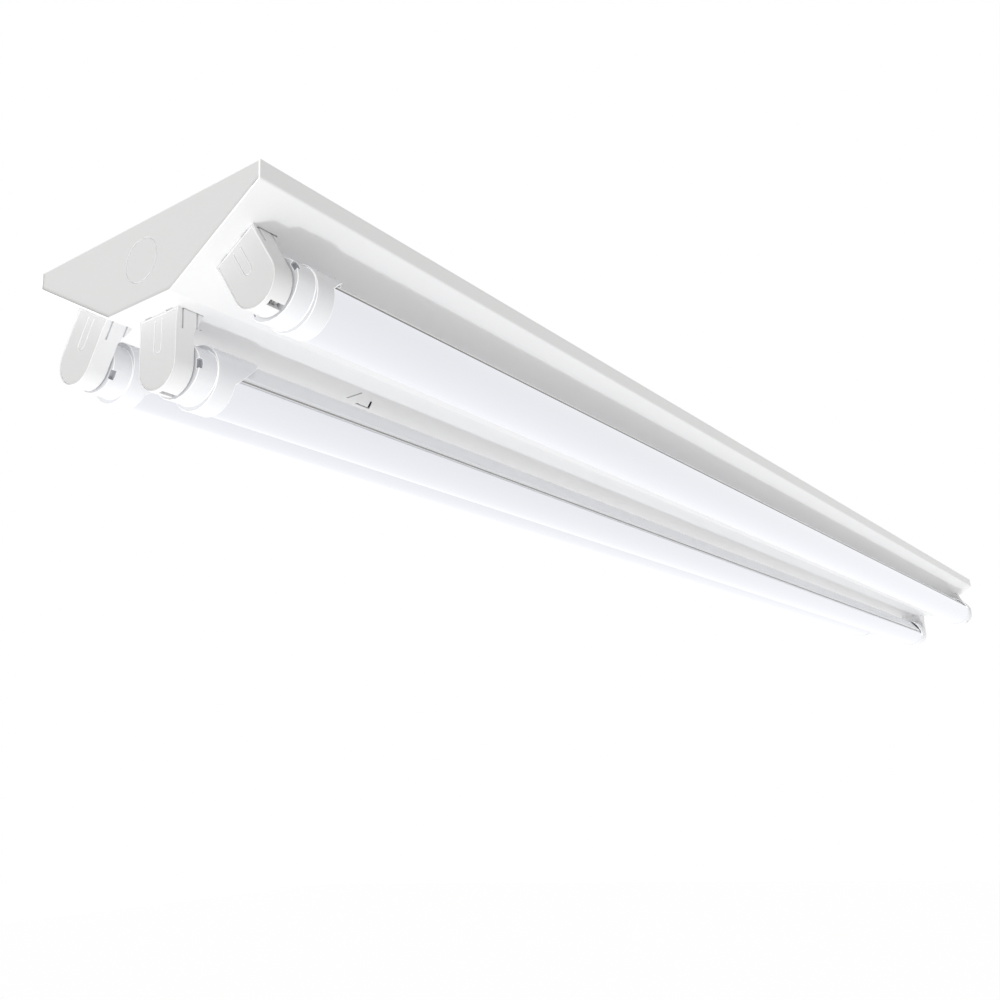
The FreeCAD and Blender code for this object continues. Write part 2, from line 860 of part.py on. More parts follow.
def oval(inset, x0, x1):
    """The oval of the cap's neck as a prism: four arcs that run into each other, drawn with many sides."""
    across, high = neck_half_width - inset, neck_half_height - inset
    small = neck_end_radius - inset
    offset = across - small
    slack = high - small
    rise = (offset ** 2 - slack ** 2) / (2 * slack)
    lean = math.atan2(offset, rise)
    joint_y, joint_z = offset + small * math.sin(lean), small * math.cos(lean)
    corners = []
    for y, z in ((1, 1), (-1, 1), (-1, -1), (1, -1)):
        start = point(y * joint_y, z * joint_z)
        if y == z:
            stop = point(-y * joint_y, z * joint_z)
            middle = point(0, z * high)
        else:
            stop = point(y * joint_y, -z * joint_z)
            middle = point(y * across, 0)
        arc = Part.Arc(start, middle, stop).toShape()
        corners += arc.discretize(Number=oval_steps + 1)[:-1]
    return extrude(polygon(corners), x0, x1)


def tube_cap():
    """A lamp cap: a round sleeve, longer over the spine, and an oval neck that carries the pins."""
    x_axis = Vector(1, 0, 0)
    start = cap_face - cap_long_side
    sleeve = many_sided(ring_sides, cap_radius, cap_step - start, Vector(start, 0, 0), x_axis)
    low = -cap_radius - over
    rise = (cap_end - start + over) / cap_slope
    sleeve = sleeve.cut(y_prism([(start - over, low), (cap_end, low), (cap_end, cap_slope_start),
                                 (start - over, cap_slope_start + rise)], cap_radius + over))
    neck = oval(0, cap_step - cap_wall, cap_face)
    cap = fused([sleeve, neck])
    bore = (tube_radius + cap_bore_gap) / math.cos(math.pi / ring_sides)
    floor = cap_end + cap_overlap + cap_bore_gap
    cap = cap.cut(many_sided(ring_sides, bore, floor - start + over, Vector(start - over, 0, 0), x_axis))
    for side in (-1, 1):
        half = pin_root_side / 2 + pin_hole_gap
        middle = side * pin_pitch / 2
        cap = cap.cut(block(cap_face - cap_wall - pin_root, cap_face + over,
                            middle - half, middle + half, -half, half))
        y0, y1 = sorted((side * (neck_half_width - cap_window_depth), side * (neck_half_width + over)))
        cap = cap.cut(block(cap_face - cap_window_length, cap_face + over, y0, y1,
                            -cap_window_height / 2, cap_window_height / 2))
    return cap


def tube_caps():
    """Both caps of one lamp."""
    cap = tube_cap()
    return Part.makeCompound([end_pair(cap, end) for end in ENDS])


def tube_pins():
    """The four contact pins of one lamp, two at each end, each on a square root."""
    group = []
    half = pin_root_side / 2
    for end in ENDS:
        for side in (-1, 1):
            pin = many_sided(small_sides, pin_radius, pin_length, Vector(cap_face, 0, 0), Vector(1, 0, 0))
            root = block(cap_face - cap_wall - pin_root, cap_face, -half, half, -half, half)
            pin = fused([pin, root])
            pin.translate(Vector(0, side * pin_pitch / 2, 0))
            group.append(end_pair(pin, end))
    return Part.makeCompound(group)


def tube_diffuser():
    """The opal cover of a lamp: an arc with a hook turned in along each edge."""
    x_axis = Vector(1, 0, 0)
    length = 2 * tube_end
    start = Vector(-tube_end, 0, 0)
    ring = disc(tube_radius, length, start, x_axis)
    ring = ring.cut(disc(tube_radius - diffuser_wall, length + 2 * over, start - Vector(over, 0, 0), x_axis))
    top = shelf_bottom - groove_gap
    ring = ring.cut(block(-tube_end - over, tube_end + over, -2 * tube_radius, 2 * tube_radius,
                          top, 2 * tube_radius))
    bottom = top - hook_thickness
    wall_start = math.sqrt((tube_radius - diffuser_wall) ** 2 - bottom ** 2)
    hooks = []
    for side in (-1, 1):
        y0, y1 = sorted((side * (wall_start - hook_length), side * (wall_start + diffuser_wall / 2)))
        hooks.append(block(-tube_end, tube_end, y0, y1, bottom, top))
    return fused([ring] + hooks)


def sink_outline(inset):
    """The heat sink's outside, moved in by a wall: flat sides, chamfered up to a flat roof."""
    radius = tube_radius - sink_drop
    side = polar(rail_angle, radius)
    roof = polar(roof_angle, tube_radius - roof_drop)
    corners = [point(-side.y, shelf_bottom), side_mirror(side), side_mirror(roof), roof, side,
               point(side.y, shelf_bottom)]
    return moved_in(corners, inset)


def side_mirror(p):
    """The same point on the other side of the lamp's middle plane."""
    return point(-p.y, p.z)


def tube_heat_sink():
    """The aluminium spine of a lamp: a hollow box with a shelf, diffuser grooves and roof fins."""
    outer = sink_outline(0)
    inner = sink_outline(sink_wall)
    inner[0], inner[-1] = point(inner[0].y, shelf_top), point(inner[-1].y, shelf_top)
    spine = extrude(polygon(outer), -tube_end, tube_end)
    spine = spine.cut(extrude(polygon(inner), -tube_end - over, tube_end + over))
    roof = outer[2].z
    extras, cuts = [], []
    hook_bottom = shelf_bottom - 2 * groove_gap - hook_thickness
    wall_start = math.sqrt((tube_radius - diffuser_wall) ** 2 - (hook_bottom + groove_gap) ** 2)
    leg_outer = wall_start - hook_length - groove_gap
    for side in (-1, 1):
        y0, y1 = sorted((side * (leg_outer - leg_width), side * leg_outer))
        extras.append(block(-tube_end, tube_end, y0, y1, hook_bottom - toe_thickness, shelf_bottom))
        y0, y1 = sorted((side * (leg_outer - leg_width), side * (leg_outer + toe_reach)))
        extras.append(block(-tube_end, tube_end, y0, y1, hook_bottom - toe_thickness, hook_bottom))
        for i in range(fin_pairs):
            middle = side * (i + 1 / 2) * fin_pitch
            extras.append(block(-tube_end, tube_end, middle - fin_width / 2, middle + fin_width / 2,
                                roof, roof + fin_height))
        face = side * (tube_radius - sink_drop)
        cuts.append(block(-tube_end - over, tube_end + over, face - rail_notch, face + rail_notch,
                          shelf_bottom - over, shelf_bottom + rail_notch))
    spine = fused([spine] + extras)
    for cut in cuts:
        spine = spine.cut(cut)
    return spine


def tube_led_board():
    """The board that carries the light sources, under the shelf."""
    reach = tube_end - board_end_gap
    bottom = shelf_bottom - board_thickness
    return block(-reach, reach, -board_width / 2, board_width / 2, bottom, shelf_bottom)


def tube_driver():
    """The driver on the shelf: a board with a coil and two film capacitors."""
    x0 = -tube_end + driver_from_end
    top = shelf_top + driver_board
    board = block(x0, x0 + driver_length, -driver_width / 2, driver_width / 2, shelf_top, top)
    middle = x0 + driver_length / 2
    coil = block(middle - coil_length / 2, middle + coil_length / 2, -coil_width / 2, coil_width / 2,
                 top, top + coil_height)
    parts = [board, coil]
    for side in (-1, 1):
        start = middle + side * driver_length / 4 - capacitor_length / 2
        parts.append(block(start, start + capacitor_length, -capacitor_width / 2, capacitor_width / 2,
                           top, top + capacitor_height))
    return fused(parts)


def make_parts():
    """Builds every sub-part and writes it."""
    os.makedirs("parts", exist_ok=True)
    save("reflector_body", reflector_body())
    save("chassis_plate", chassis_plate())
    for end in ENDS:
        save("end_plate_" + end, end_plate(end))
        save("bracket_" + end, bracket(end))
    save("terminal_block", terminal_block())
    save("earth_screw", earth_screw())
    save("cable_bush", cable_bush())
    save("wiring_loom", wiring_loom())
    holder = {"housing": socket_housing(), "cover": socket_cover(), "contacts": socket_contacts(),
              "rotor": socket_rotor()}
    tube = {"diffuser": tube_diffuser(), "heat_sink": tube_heat_sink(), "led_board": tube_led_board(),
            "driver": tube_driver(), "caps": tube_caps(), "pins": tube_pins()}
    for lamp in LAMPS:
        for name, shape in tube.items():
            save("tube_" + name + "_" + lamp, on_lamp(shape, lamp))
        for end in ENDS:
            for name, shape in holder.items():
                save("socket_" + name + "_" + lamp + "_" + end, on_facet(shape, lamp, end))


if __name__ == "__main__":
    make_parts()
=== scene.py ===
"""Looks of the three-lamp batten ceiling light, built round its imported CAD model.

Everything is in metres, in the CAD model's frame: X along the lamps, Z up, z = 0 on the ceiling face.
Sizes in the classes are in millimetres.
"""

import logging
import math
from dataclasses import dataclass, field
from enum import Enum
from typing import Any, Callable, Iterable

import bmesh
import bpy
from mathutils import Matrix, Vector

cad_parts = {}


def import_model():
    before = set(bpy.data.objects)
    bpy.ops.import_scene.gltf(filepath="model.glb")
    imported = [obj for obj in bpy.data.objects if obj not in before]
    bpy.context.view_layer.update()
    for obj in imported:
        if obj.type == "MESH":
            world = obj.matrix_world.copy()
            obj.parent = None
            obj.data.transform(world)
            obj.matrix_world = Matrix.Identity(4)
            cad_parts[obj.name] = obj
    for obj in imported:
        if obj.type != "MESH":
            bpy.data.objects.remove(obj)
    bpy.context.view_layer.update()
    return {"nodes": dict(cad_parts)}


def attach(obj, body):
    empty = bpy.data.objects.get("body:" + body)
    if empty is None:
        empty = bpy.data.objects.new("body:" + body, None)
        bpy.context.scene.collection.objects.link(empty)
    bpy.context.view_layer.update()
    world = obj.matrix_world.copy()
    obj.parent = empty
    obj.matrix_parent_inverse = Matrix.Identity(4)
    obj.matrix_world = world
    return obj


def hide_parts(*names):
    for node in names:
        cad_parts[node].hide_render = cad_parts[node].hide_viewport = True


LOG = logging.getLogger("batten")
MM = 0.001
FIXTURE = "fixture"
# A piece's slots: its own finish, and that of its eased edges.
MAIN_SLOT, EDGE_SLOT = 0, 1
# Corners closer than this are one, in millimetres.
MERGE_GAP = 0.002
# Faces within this angle of one plane are joined, and edges over this angle are eased, in degrees.
FLAT_WITHIN, EASED_OVER = 0.5, 35.0
# Edges over this angle stay crisp in the shading, in degrees.
CRISP_OVER = 32.0
# Steps across an eased edge, and how much a large face counts in the shading beside it.
EASE_STEPS, LARGE_FACE_WEIGHT = 2, 80
# The fine noise's detail and fall-off, and the slow noise's detail and useful range.
FINE_DETAIL, FINE_FALL_OFF = 3.0, 0.55
SLOW_DETAIL, SLOW_RANGE = 2.0, (0.3, 0.7)
# Takes a section drawn in XY and extruded along Z to one that lies across X.
ACROSS_X = Matrix(((0, 0, 1), (1, 0, 0), (0, 1, 0))).to_4x4()


class Side(Enum):
    """The lamp's place across the body: the sign of its y, and of its facet's tilt."""

    RIGHT = -1
    MIDDLE = 0
    LEFT = 1

    @property
    def word(self) -> str:
        """The side's word in node and body names."""
        return self.name.lower()


class End(Enum):
    """The end of the body: the sign of its x."""

    NEAR = -1
    FAR = 1

    @property
    def word(self) -> str:
        """The end's word in node names."""
        return self.name.lower()


# Shader building


def linear(hex_colour: str) -> tuple[float, float, float, float]:
    """Turns an sRGB hex colour to linear.

    Args:
        hex_colour: Six hex digits.

    Returns:
        Linear red, green and blue, and an alpha of one.
    """
    parts = [int(hex_colour[i : i + 2], 16) / 255 for i in (0, 2, 4)]
    out = [c / 12.92 if c <= 0.04045 else ((c + 0.055) / 1.055) ** 2.4 for c in parts]
    return out[0], out[1], out[2], 1.0


def add_node(tree: Any, kind: str, feeds: dict[Any, Any] | None = None, **settings: Any) -> Any:
    """Adds a node with its settings, socket values and links.

    Args:
        tree: The node tree.
        kind: The node's type name.
        feeds: Socket name or number to a value, or to the output socket that feeds it.
        **settings: The node's own properties.

    Returns:
        The new node.
    """
    node = tree.nodes.new(kind)
    for key, value in settings.items():
        setattr(node, key, value)
    for key, value in (feeds or {}).items():
        if isinstance(value, bpy.types.NodeSocket):
            tree.links.new(value, node.inputs[key])
        else:
            node.inputs[key].default_value = value
    return node


@dataclass(frozen=True)
class Finish:
    """A surface finish: two close tones over a fine noise, with the noise as relief.

    Attributes:
        name: The material's name.
        tone: Main colour, sRGB hex.
        second: The colour it drifts to, sRGB hex.
        roughness: Mean roughness.
        spread: How far the roughness drifts from its mean.
        grain: Size of the fine relief, in millimetres.
        relief: Height of the fine relief, in millimetres.
        cloud: Size of the colour drift, in millimetres.
        stretch: How much longer the grain is along X than across it.
        metallic: Metalness.
        settings: Further sockets of the shader, with sRGB hex for colours.
    """

    name: str
    tone: str
    second: str
    roughness: float
    spread: float = 0.04
    grain: float = 1.0
    relief: float = 0.01
    cloud: float = 40.0
    stretch: float = 1.0
    metallic: float = 0.0
    settings: tuple[tuple[str, Any], ...] = ()

    def coordinates(self, tree: Any) -> Any:
        """Object coordinates, squeezed along X where the grain is long.

        Args:
            tree: The material's node tree.

        Returns:
            The vector socket.
        """
        place = add_node(tree, "ShaderNodeTexCoord").outputs["Object"]
        feeds = {"Vector": place, "Scale": (1 / self.stretch, 1.0, 1.0)}
        return add_node(tree, "ShaderNodeMapping", feeds).outputs[0]

    def grain_socket(self, tree: Any, vector: Any) -> Any:
        """The fine pattern that makes the relief.

        Args:
            tree: The material's node tree.
            vector: The coordinates.

        Returns:
            A value socket from 0 to 1.
        """
        feeds = {"Vector": vector, "Scale": 1 / (self.grain * MM), "Detail": FINE_DETAIL,
                 "Roughness": FINE_FALL_OFF}
        return add_node(tree, "ShaderNodeTexNoise", feeds).outputs["Fac"]

    def build(self) -> bpy.types.Material:
        """Makes the material.

        Returns:
            The material.
        """
        material = bpy.data.materials.new(self.name)
        material.use_nodes = True
        tree = material.node_tree
        tree.nodes.clear()
        vector = self.coordinates(tree)
        fine = self.grain_socket(tree, vector)
        feeds = {"Vector": vector, "Scale": 1 / (self.cloud * MM), "Detail": SLOW_DETAIL}
        drift = add_node(tree, "ShaderNodeTexNoise", feeds).outputs["Fac"]
        both = add_node(tree, "ShaderNodeMath", {0: drift, 1: fine}, operation="MULTIPLY").outputs[0]
        tones = {0: both, 6: linear(self.tone), 7: linear(self.second)}
        colour = add_node(tree, "ShaderNodeMix", tones, data_type="RGBA").outputs[2]
        span = {"Value": drift, "From Min": SLOW_RANGE[0], "From Max": SLOW_RANGE[1],
                "To Min": self.roughness - self.spread, "To Max": self.roughness + self.spread}
        rough = add_node(tree, "ShaderNodeMapRange", span).outputs[0]
        height = {"Height": fine, "Distance": self.relief * MM, "Strength": 1.0}
        bump = add_node(tree, "ShaderNodeBump", height).outputs[0]
        feeds = {"Base Color": colour, "Roughness": rough, "Metallic": self.metallic, "Normal": bump}
        for key, value in self.settings:
            feeds[key] = linear(value) if isinstance(value, str) else value
        shader = add_node(tree, "ShaderNodeBsdfPrincipled", feeds)
        add_node(tree, "ShaderNodeOutputMaterial", {"Surface": shader.outputs[0]})
        return material


@dataclass(frozen=True)
class Spangled(Finish):
    """A zinc coat, whose crystals show as flat cells of slightly different tone."""

    def grain_socket(self, tree: Any, vector: Any) -> Any:
        """The crystal cells.

        Args:
            tree: The material's node tree.
            vector: The coordinates.

        Returns:
            A value socket from 0 to 1, constant within each cell.
        """
        cells = add_node(tree, "ShaderNodeTexVoronoi", {"Vector": vector, "Scale": 1 / (self.grain * MM)})
        return add_node(tree, "ShaderNodeSeparateColor", {0: cells.outputs["Color"]}).outputs[0]


# Polyester powder coat on folded steel: baked, so smooth with a faint orange peel and a soft gloss.
POWDER_COAT = Finish("white_powder_coated_steel", "f3f3f4", "ededee", 0.36, 0.03, 1.6, 0.004, 90.0,
                     settings=(("Specular IOR Level", 0.45), ("Coat Weight", 0.15), ("Coat Roughness", 0.12)))
# The ends are pressed from the same stock; coated flat, they come out a little duller.
END_COAT = Finish("white_powder_coated_end_plate", "f3f3f4", "eeeeef", 0.42, 0.03, 1.4, 0.005, 60.0)
# Hot-dip galvanised sheet: grey metal, with crystals a few millimetres across.
GALVANISED = Spangled("hot_dip_galvanised_steel", "b9bcbe", "a4a7aa", 0.42, 0.06, 6.0, 0.002, 60.0,
                      metallic=1.0)
# Moulded polycarbonate: white, spark-eroded tool, so half gloss with a very fine texture.
HOLDER_PLASTIC = Finish("moulded_polycarbonate_white", "efeff0", "e9e9ea", 0.4, 0.03, 0.8, 0.003, 25.0)
# The same plastic off a coarser tool: flat white with no clear highlights.
COVER_PLASTIC = Finish("moulded_polycarbonate_matt", "f1f1f2", "eaeaeb", 0.52, 0.03, 0.7, 0.006, 20.0)
# PBT off a polished tool: the caps are the glossiest white on the lamp.
CAP_PLASTIC = Finish("moulded_pbt_gloss_white", "f0f1f4", "eaebef", 0.34, 0.03, 1.2, 0.002, 20.0)
# Extruded opal polycarbonate with a painted glow: an emission of 0.74 over a mid-grey base stands in for
# light and evens the cover's shading.
OPAL_PAINTED_GLOW = Finish("extruded_opal_polycarbonate", "6a6c70", "66686c", 0.36, 0.02, 1.5, 0.002, 120.0, 30.0,
              settings=(("Emission Color", "eff0f5"), ("Emission Strength", 0.74)))
# Extruded aluminium, fine matt anodised: die lines run the lamp's length.
SPINE_METAL = Finish("anodised_extruded_aluminium", "f3f4f6", "ebecee", 0.45, 0.03, 0.7, 0.002, 60.0, 60.0,
                     metallic=0.5)
# A grey band on the spine, beside the opal cover: painted shade for the joint between them.
JOINT_PAINTED_SHADE = Finish("painted_joint_shade_grey", "9c9a97", "a3a19e", 0.6, 0.05, 0.8, 0.004, 10.0)
# A painted highlight for thin moulded or coated edges: white that glows a little, so they read whiter than
# the faces beside them.
PAINTED_EDGE_HIGHLIGHT = Finish("thin_white_edge", "ffffff", "f8f8f8", 0.4, 0.03, 0.8, 0.002, 10.0,
                  settings=(("Emission Color", "ffffff"), ("Emission Strength", 0.35)))
# The inside of a cap's moulded window: the same plastic, painted a darker grey for the shade in the recess.
RECESS_PAINTED_SHADE = Finish("moulded_recess_shade", "b4b6bb", "adafb5", 0.6, 0.05, 0.8, 0.004, 10.0)
# Nickel-plated brass pins, turned and bright.
PIN_METAL = Finish("nickel_plated_brass", "c9c5bb", "b3aea2", 0.25, 0.05, 0.4, 0.002, 5.0, metallic=1.0)
# Phosphor bronze leaf springs, plain rolled strip.
SPRING_METAL = Finish("phosphor_bronze_strip", "c79a6a", "b58757", 0.3, 0.06, 0.5, 0.002, 6.0, metallic=1.0)
# Zinc-plated steel screw: pale metal with a dull shine.
ZINC_METAL = Finish("zinc_plated_steel", "c6c8c8", "b2b4b3", 0.34, 0.06, 0.6, 0.003, 6.0, metallic=1.0)
# Polyamide terminal block: waxy off-white.
POLYAMIDE = Finish("moulded_polyamide_natural", "ebe8dd", "e2dfd2", 0.48, 0.04, 0.8, 0.005, 12.0)
# Moulded rubber bush: near black, dusty sheen.
RUBBER = Finish("moulded_rubber_black", "1d1d1e", "2a2a2b", 0.72, 0.05, 0.8, 0.01, 10.0)
# PVC lead sheath: smooth, soft gloss, faintly grey.
SHEATH = Finish("extruded_pvc_sheath", "e3e3e1", "d8d8d5", 0.4, 0.04, 0.9, 0.004, 30.0)
# White solder mask over copper-clad board.
BOARD_MASK = Finish("white_solder_mask", "eeeeea", "e4e4de", 0.35, 0.04, 0.8, 0.002, 15.0)
# Green solder mask on the driver's board.
DRIVER_MASK = Finish("green_solder_mask", "2f6b48", "285c3e", 0.3, 0.05, 0.8, 0.003, 10.0)
# Silicone with yellow phosphor over each light source.
PHOSPHOR = Finish("phosphor_silicone", "e9d27a", "dfc468", 0.3, 0.03, 0.5, 0.002, 3.0)


class Paints:
    """Builds each finish once and keeps it."""

    def __init__(self) -> None:
        """Starts with nothing built."""
        self.made: dict[str, bpy.types.Material] = {}

    def get(self, finish: Finish) -> bpy.types.Material:
        """The material of a finish.

        Args:
            finish: The finish.

        Returns:
            Its material, built on first use.
        """
        if finish.name not in self.made:
            self.made[finish.name] = finish.build()
        return self.made[finish.name]

    def coat(self, piece: bpy.types.Object, finish: Finish, edge: Finish | None = None) -> None:
        """Gives a piece one finish all over, or another on its eased edges.

        Args:
            piece: The mesh object.
            finish: The finish.
            edge: The finish of its eased edges, if it is another one.
        """
        mesh = piece.data
        eased = [bool(edge) and face.material_index == EDGE_SLOT for face in mesh.polygons]
        mesh.materials.clear()
        for each in (finish, edge):
            if each:
                mesh.materials.append(self.get(each))
        mesh.polygons.foreach_set("material_index", [EDGE_SLOT if each else MAIN_SLOT for each in eased])

    def add(self, piece: bpy.types.Object, finish: Finish) -> int:
        """Gives a piece one more finish, which no face has yet.

        Args:
            piece: The mesh object.
            finish: The finish.

        Returns:
            The number of its slot.
        """
        piece.data.materials.append(self.get(finish))
        return len(piece.data.materials) - 1


# Mesh building


def new_piece(name: str, mesh: bpy.types.Mesh) -> bpy.types.Object:
    """Puts a mesh in the scene as an object at the origin.

    Args:
        name: The object's name.
        mesh: Its mesh.

    Returns:
        The object.
    """
    piece = bpy.data.objects.new(name, mesh)
    bpy.context.scene.collection.objects.link(piece)
    return piece


def reshape(mesh: bpy.types.Mesh, change: Callable[[bmesh.types.BMesh], None],
            source: bpy.types.Mesh | None = None) -> None:
    """Changes a mesh, or fills it with a changed copy of another.

    Args:
        mesh: The mesh that is written.
        change: Works on it in its open form.
        source: The mesh that is read, if it is another one.
    """
    bm = bmesh.new()
    bm.from_mesh(source or mesh)
    change(bm)
    bm.to_mesh(mesh)
    bm.free()


def join_flat_faces(bm: bmesh.types.BMesh) -> None:
    """Joins the loose triangles of a CAD node to its flat faces.

    Args:
        bm: The mesh.
    """
    bmesh.ops.remove_doubles(bm, verts=bm.verts, dist=MERGE_GAP * MM)
    bmesh.ops.dissolve_limit(bm, angle_limit=math.radians(FLAT_WITHIN), verts=bm.verts, edges=bm.edges)


def smooth(mesh: bpy.types.Mesh, angle: float = CRISP_OVER) -> None:
    """Shades a mesh smooth, with edges sharper than an angle kept crisp.

    Args:
        mesh: The mesh.
        angle: The angle between faces, in degrees.
    """
    mesh.polygons.foreach_set("use_smooth", [True] * len(mesh.polygons))
    mesh.set_sharp_from_angle(angle=math.radians(angle))


def bake_modifiers(piece: bpy.types.Object) -> None:
    """Turns a piece and its modifiers to a plain mesh.

    Args:
        piece: The object, which keeps its name.
    """
    bpy.context.view_layer.update()
    graph = bpy.context.evaluated_depsgraph_get()
    mesh = bpy.data.meshes.new_from_object(piece.evaluated_get(graph), depsgraph=graph)
    mesh.name = piece.name
    piece.modifiers.clear()
    piece.data = mesh


def eased_copy(node: bpy.types.Object, name: str, ease: float,
               change: Callable[[bmesh.types.BMesh], None] | None = None) -> bpy.types.Object:
    """A copy of a CAD node with joined faces, eased edges and smooth shading.

    Args:
        node: The CAD node.
        name: The new piece's name.
        ease: Width of the eased edge, in millimetres.
        change: Reshapes the mesh once its edges are eased.

    Returns:
        The piece, whose eased edges are in their own slot.
    """
    mesh = bpy.data.meshes.new(name)
    reshape(mesh, join_flat_faces, node.data)
    for _ in (MAIN_SLOT, EDGE_SLOT):
        mesh.materials.append(None)
    piece = new_piece(name, mesh)
    bevel = piece.modifiers.new("eased_edges", "BEVEL")
    bevel.material = EDGE_SLOT
    bevel.width = ease * MM
    bevel.segments = EASE_STEPS
    bevel.limit_method = "ANGLE"
    bevel.angle_limit = math.radians(EASED_OVER)
    bevel.use_clamp_overlap = True
    bevel.loop_slide = False
    bake_modifiers(piece)
    if change:
        reshape(piece.data, change)
    smooth(piece.data)
    level = piece.modifiers.new("flat_faces", "WEIGHTED_NORMAL")
    level.keep_sharp = True
    level.weight = LARGE_FACE_WEIGHT
    bake_modifiers(piece)
    return piece


# Geometry Nodes trees


def new_tree(name: str, inputs: Iterable[tuple[str, str]]) -> tuple[Any, Any, Any]:
    """Starts a Geometry Nodes tree with named inputs.

    Args:
        name: The tree's name.
        inputs: Pairs of input name and kind of value, such as Float or Vector.

    Returns:
        The tree, its inputs' sockets and its output node.
    """
    tree = bpy.data.node_groups.new(name, "GeometryNodeTree")
    for label, kind in inputs:
        tree.interface.new_socket(label, in_out="INPUT", socket_type="NodeSocket" + kind)
    tree.interface.new_socket("Geometry", in_out="OUTPUT", socket_type="NodeSocketGeometry")
    return tree, add_node(tree, "NodeGroupInput").outputs, add_node(tree, "NodeGroupOutput")


def finish_tree(tree: Any, out: Any, instances: Any, material: bpy.types.Material) -> None:
    """Ends a tree: realises its instances, then sets their material.

    Args:
        tree: The node tree.
        out: Its output node.
        instances: The socket with the instances.
        material: Their material.
    """
    real = add_node(tree, "GeometryNodeRealizeInstances", {0: instances})
    dressed = add_node(tree, "GeometryNodeSetMaterial", {"Geometry": real.outputs[0], "Material": material})
    tree.links.new(dressed.outputs[0], out.inputs[0])


def grown_piece(name: str, tree: Any, values: dict[str, Any],
                change: Callable[[bmesh.types.BMesh], None]) -> bpy.types.Object:
    """Grows a piece from a tree and turns it to a plain mesh.

    Args:
        name: The piece's name.
        tree: The node group.
        values: Input name to value.
        change: Works on the plain mesh.

    Returns:
        The piece.
    """
    piece = new_piece(name, bpy.data.meshes.new("carrier"))
    modifier = piece.modifiers.new(tree.name, "NODES")
    modifier.node_group = tree
    for item in tree.interface.items_tree:
        if item.item_type == "SOCKET" and item.in_out == "INPUT":
            value = values[item.name]
            modifier[item.identifier] = list(value) if isinstance(value, Vector) else value
    bake_modifiers(piece)
    reshape(piece.data, change)
    return piece


def source_row_tree(material: bpy.types.Material) -> Any:
    """A row of low packages between two points.

    Args:
        material: The packages' material.

    Returns:
        The node tree, with inputs Start, End, Count and Size.
    """
    inputs = (("Start", "Vector"), ("End", "Vector"), ("Count", "Int"), ("Size", "Vector"))
    tree, given, out = new_tree("light_source_row", inputs)
    row = {"Count": given["Count"], "Start Location": given["Start"], "Offset": given["End"]}
    line = add_node(tree, "GeometryNodeMeshLine", row, mode="END_POINTS")
    package = add_node(tree, "GeometryNodeMeshCube", {"Size": given["Size"]})
    seats = {"Points": line.outputs[0], "Instance": package.outputs["Mesh"]}
    placed = add_node(tree, "GeometryNodeInstanceOnPoints", seats)
    finish_tree(tree, out, placed.outputs[0], material)
    return tree


def cover_tree(material: bpy.types.Material) -> Any:
    """An opal cover: two arcs and a hook along each edge, joined to one outline and extruded along Z.

    Args:
        material: The cover's material.

    Returns:
        The node tree, with inputs for both arcs, for the four corners of a hook and for both ends.
    """
    corners = ("Edge", "Hook Top", "Hook Foot", "Wall Foot")
    arcs = (("Radius", "Half Angle"), ("Inner Radius", "Inner Half Angle"))
    inputs = [(name, "Vector") for name in (*corners, "Start", "End")]
    inputs += [(name, "Float") for names in arcs for name in names]
    tree, given, out = new_tree("opal_cover_extrusion", [*inputs, ("Points", "Int")])
    outline = []
    for radius, half in arcs:
        start = add_node(tree, "ShaderNodeMath", {0: -math.pi / 2, 1: given[half]}, operation="SUBTRACT")
        sweep = add_node(tree, "ShaderNodeMath", {0: given[half], 1: 2.0}, operation="MULTIPLY")
        arc = {"Resolution": given["Points"], "Radius": given[radius], "Start Angle": start.outputs[0],
               "Sweep Angle": sweep.outputs[0]}
        outline.append(add_node(tree, "GeometryNodeCurveArc", arc, mode="RADIUS").outputs["Curve"])
    for low, high in zip(corners, corners[1:]):
        line = add_node(tree, "GeometryNodeCurvePrimitiveLine", {"Start": given[low], "End": given[high]})
        outline.append(line.outputs[0])
        mirrored = {0: line.outputs[0], "Scale": (-1.0, 1.0, 1.0)}
        outline.append(add_node(tree, "GeometryNodeTransform", mirrored).outputs[0])
    joined = add_node(tree, "GeometryNodeJoinGeometry")
    for curve in outline:
        tree.links.new(curve, joined.inputs[0])
    edges = add_node(tree, "GeometryNodeCurveToMesh", {"Curve": joined.outputs[0]}).outputs[0]
    merged = add_node(tree, "GeometryNodeMergeByDistance", {"Geometry": edges, "Distance": MERGE_GAP * MM})
    section = add_node(tree, "GeometryNodeMeshToCurve", {"Mesh": merged.outputs[0]}).outputs[0]
    path = add_node(tree, "GeometryNodeCurvePrimitiveLine", {"Start": given["Start"], "End": given["End"]})
    extrusion = {"Curve": path.outputs[0], "Profile Curve": section, "Fill Caps": True}
    skin = add_node(tree, "GeometryNodeCurveToMesh", extrusion)
    finish_tree(tree, out, skin.outputs[0], material)
    return tree


# The light's sub-assemblies


@dataclass(frozen=True)
class Section:
    """The body's outline across its length.

    Attributes:
        run: How far a sloping facet reaches across.
        rise: How far it reaches up.
        middle: From the body's middle plane to that facet's middle.
        drop: From the ceiling down to that facet's middle.
        bottom: From the ceiling down to the bottom facet.
    """

    run: float = 54.0
    rise: float = 32.0
    middle: float = 48.0
    drop: float = 24.8
    bottom: float = 40.8

    def place(self, side: Side) -> Matrix:
        """The place of a side's facet.

        Args:
            side: The side.

        Returns:
            The matrix that takes millimetres from the facet's middle, with Z into the body, to metres in the
            frame.
        """
        tilt = side.value * math.atan2(self.rise, self.run)
        drop = self.bottom if side is Side.MIDDLE else self.drop
        middle = Vector((0.0, side.value * self.middle, -drop))
        return Matrix.Scale(MM, 4) @ Matrix.Translation(middle) @ Matrix.Rotation(tilt, 4, "X")


BODY_SECTION = Section()


